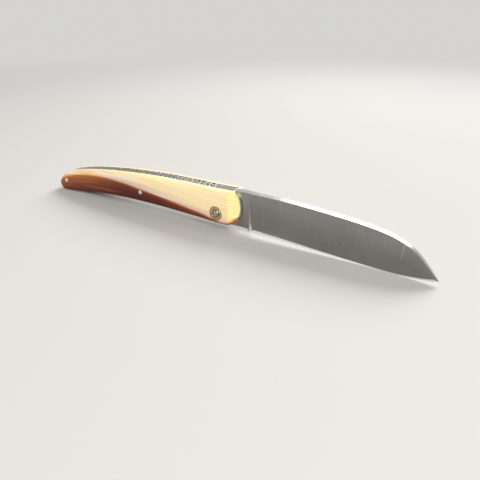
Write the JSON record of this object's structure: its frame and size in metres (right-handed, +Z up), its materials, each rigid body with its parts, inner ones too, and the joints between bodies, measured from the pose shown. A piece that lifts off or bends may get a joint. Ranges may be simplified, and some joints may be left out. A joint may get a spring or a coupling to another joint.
{
  "type": "folding whittling knife",
  "caption": "Slipjoint folding whittling knife: arched horn handle on steel liners, flat-ground blade that folds into the belly slot.",
  "frame": {"origin": "on the table under the middle of the knife's box, with the blade open and the spine up", "axes": "+X from the tail of the handle to the blade's tip, +Y to the knife's left side, +Z up through the spine"},
  "size_m": [0.1894, 0.0122, 0.019],
  "materials": {
    "blade_steel": "satin, fine grinding lines across the blade",
    "spring_steel": "chased, darkened in the hollows",
    "liner_steel": "satin",
    "horn": "polished horn, cream above and red-brown below",
    "rosette_brass": "polished, slightly aged",
    "washer_bronze": "plain rolled strip",
    "pin_steel": "peened and polished"
  },
  "bodies": {
    "handle": {"back_spring": "spring_steel", "liner_right": "liner_steel", "liner_left": "liner_steel", "scale_right": "horn", "scale_left": "horn", "rosette_right": "rosette_brass", "rosette_left": "rosette_brass", "washer_right": "washer_bronze", "washer_left": "washer_bronze", "pivot_pin": "pin_steel", "tail_pin": "pin_steel", "spring_pin": "pin_steel", "scale_pin_right": "pin_steel", "scale_pin_left": "pin_steel"},
    "blade": {"blade": "blade_steel"}
  },
  "joints": [
    {"name": "blade_hinge", "type": "hinge", "parent": "handle", "child": "blade", "pos_m": [0.00473, 0, 0.0085], "axis": [0, 1, 0], "range_deg": [0, 175], "deforming": ["back_spring"]}
  ]
}
